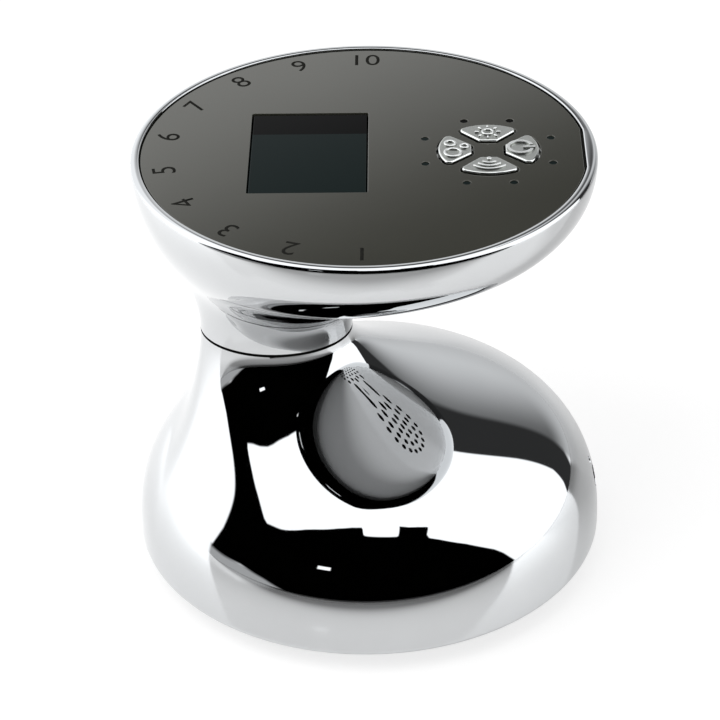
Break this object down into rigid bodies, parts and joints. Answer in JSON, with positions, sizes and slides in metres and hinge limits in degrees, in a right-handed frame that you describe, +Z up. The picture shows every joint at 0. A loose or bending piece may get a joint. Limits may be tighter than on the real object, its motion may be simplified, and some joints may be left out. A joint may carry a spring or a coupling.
{
  "type": "cavitation slimming machine",
  "caption": "Hand-held ultrasonic body care device: chrome dome with a flat treatment face, a waisted offset neck to hold, and a bowl head with a round button panel.",
  "frame": {"origin": "middle of the flat treatment face on which the device stands", "axes": "+Z up, from the treatment face to the control panel; +X towards the user and the open side of the finger gap; the neck is at -X and the charging socket at +X"},
  "size_m": [0.1102, 0.1102, 0.1059],
  "materials": {
    "shell_chrome": "mirror-bright chrome plating on moulded plastic",
    "smoked_panel": "smoked grey, semi-mirrored gloss",
    "display_lens": "dark tinted gloss",
    "display_glass": "dark display glass",
    "black_plastic": "fine-grained matte",
    "frosted_plastic": "frosted, light-diffusing",
    "circuit_board": "green solder mask",
    "black_rubber": "matte rubber",
    "wire_sheath": "matte sleeve",
    "white_plastic": "satin white",
    "stainless_steel": "finely turned, polished edge",
    "piezo_ceramic": "unglazed ceramic with a silvered face",
    "contact_brass": "bright",
    "cell_wrap": "shrink sleeve",
    "ferrite": "dark ferrite with a taped winding",
    "coil_copper": "enamelled copper wire",
    "sink_aluminium": "natural extruded",
    "zinc_steel": "zinc plated",
    "button_chrome": "satin chrome plating with bright edges"
  },
  "bodies": {
    "housing": {"head_shell": "shell_chrome", "control_panel": "smoked_panel", "display_window": "display_lens", "display_module": "display_glass", "panel_carrier": "black_plastic", "indicator_light_guide": "display_lens", "light_switch": "black_plastic", "cavitation_switch": "black_plastic", "radio_switch": "black_plastic", "power_switch": "black_plastic", "control_board": "circuit_board", "carrier_screw_1": "zinc_steel", "carrier_screw_2": "zinc_steel", "carrier_screw_3": "zinc_steel", "carrier_screw_4": "zinc_steel", "speaker": "black_plastic", "speaker_foam": "black_rubber", "neck_harness": "wire_sheath", "harness_grommet": "black_rubber", "neck_screw_1": "zinc_steel", "neck_screw_2": "zinc_steel", "seam_gasket": "black_rubber", "body_shell": "shell_chrome", "base_plate": "white_plastic", "light_window_ring": "frosted_plastic", "led_board": "circuit_board", "sonic_head": "stainless_steel", "sonic_seal": "black_rubber", "piezo_disc": "piezo_ceramic", "piezo_contact": "contact_brass", "rf_electrode_1": "stainless_steel", "rf_electrode_2": "stainless_steel", "rf_electrode_3": "stainless_steel", "rf_electrode_4": "stainless_steel", "base_screw_1": "zinc_steel", "base_screw_2": "zinc_steel", "base_screw_3": "zinc_steel", "base_screw_4": "zinc_steel", "main_board": "circuit_board", "battery_cradle": "black_plastic", "battery_cell_1": "cell_wrap", "battery_cell_2": "cell_wrap", "output_transformer": "ferrite", "choke_coil": "coil_copper", "heat_sink": "sink_aluminium", "power_jack": "black_plastic", "charge_light": "frosted_plastic"},
    "light_key": {"light_button": "button_chrome", "light_plunger": "white_plastic"},
    "cavitation_key": {"cavitation_button": "button_chrome", "cavitation_plunger": "white_plastic"},
    "radio_key": {"radio_button": "button_chrome", "radio_plunger": "white_plastic"},
    "power_key": {"power_button": "button_chrome", "power_plunger": "white_plastic"}
  },
  "joints": [
    {"name": "light_press", "type": "slide", "parent": "housing", "child": "light_key", "axis": [0, 0, -1], "range_m": [0, 0.0008], "stiffness_N_per_m": 1200, "springref_m": -0.0006},
    {"name": "cavitation_press", "type": "slide", "parent": "housing", "child": "cavitation_key", "axis": [0, 0, -1], "range_m": [0, 0.0008], "stiffness_N_per_m": 1200, "springref_m": -0.0006},
    {"name": "radio_press", "type": "slide", "parent": "housing", "child": "radio_key", "axis": [0, 0, -1], "range_m": [0, 0.0008], "stiffness_N_per_m": 1200, "springref_m": -0.0006},
    {"name": "power_press", "type": "slide", "parent": "housing", "child": "power_key", "axis": [0, 0, -1], "range_m": [0, 0.0008], "stiffness_N_per_m": 1200, "springref_m": -0.0006}
  ]
}
